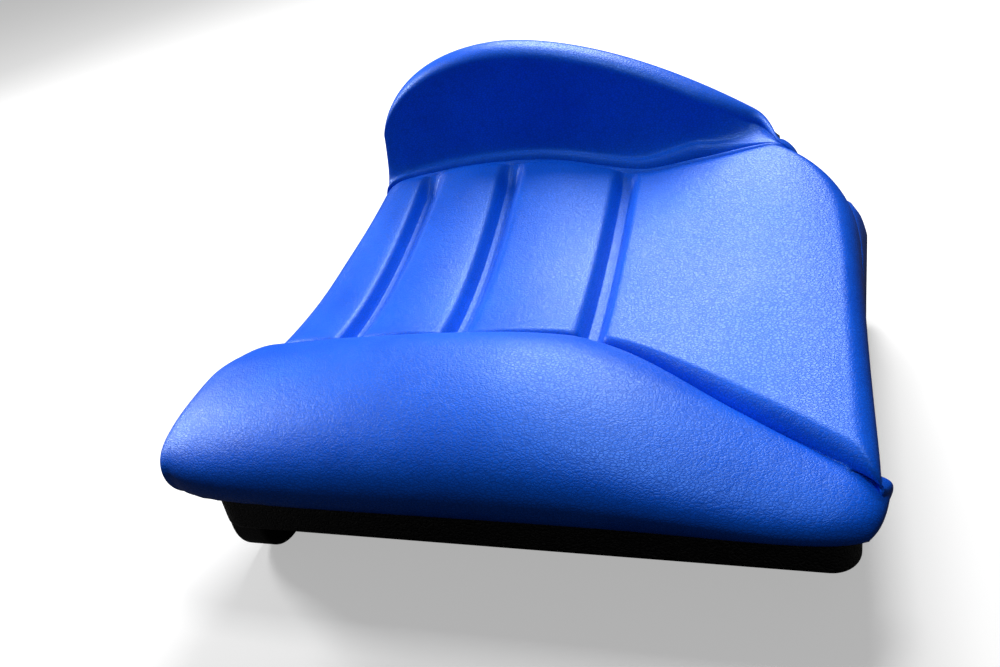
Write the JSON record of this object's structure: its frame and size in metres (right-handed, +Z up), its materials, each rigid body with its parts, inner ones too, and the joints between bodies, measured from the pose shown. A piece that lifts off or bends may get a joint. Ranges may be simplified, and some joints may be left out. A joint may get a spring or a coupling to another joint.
{
  "type": "stadium seat",
  "caption": "Padded stadium seat cushion with a front roll, channelled pads and a low back, on a moulded tray with side runners and fixing rails.",
  "frame": {"origin": "on the surface that the seat stands on, under the middle of its outer box", "axes": "+X to the sitter's left along the front roll, +Y from the front roll to the back, +Z up"},
  "size_m": [0.468, 0.442, 0.2582],
  "materials": {
    "moulded_plastic": "black moulded polypropylene with a coarse pebble grain",
    "smooth_plastic": "black moulded plastic, fine grain with a slight gloss",
    "vinyl": "saturated blue vinyl upholstery with a fine leather grain over foam",
    "vinyl_hem": "blue vinyl turned under, its knitted backing facing in",
    "plywood": "birch plywood, sealed",
    "foam": "firm bonded foam",
    "zinc_steel": "zinc-plated steel",
    "black_steel": "flat steel bar, black powder coat",
    "rubber": "black rubber"
  },
  "bodies": {
    "root": {"base_tray": "moulded_plastic", "left_runner": "moulded_plastic", "right_runner": "moulded_plastic", "foot_pads": "rubber", "front_rail": "black_steel", "rear_rail": "black_steel", "clamp_bolts": "zinc_steel", "clamp_washers": "zinc_steel", "tee_nuts": "zinc_steel", "tray_screws": "zinc_steel", "tray_screw_washers": "zinc_steel", "runner_screws": "zinc_steel", "seat_board": "plywood", "seat_cover_hem": "vinyl_hem", "seat_cover_staples": "zinc_steel", "seat_foam_slab": "foam", "front_roll": "vinyl", "left_side_pad": "vinyl", "outer_flute_pad": "vinyl", "inner_flute_pad": "vinyl", "right_side_pad": "vinyl", "back_board": "plywood", "back_cover_hem": "vinyl_hem", "back_cover_staples": "zinc_steel", "back_shell": "smooth_plastic", "back_shell_screws": "zinc_steel", "angle_brackets": "zinc_steel", "bracket_screws": "zinc_steel", "back_pad": "vinyl"}
  },
  "joints": []
}
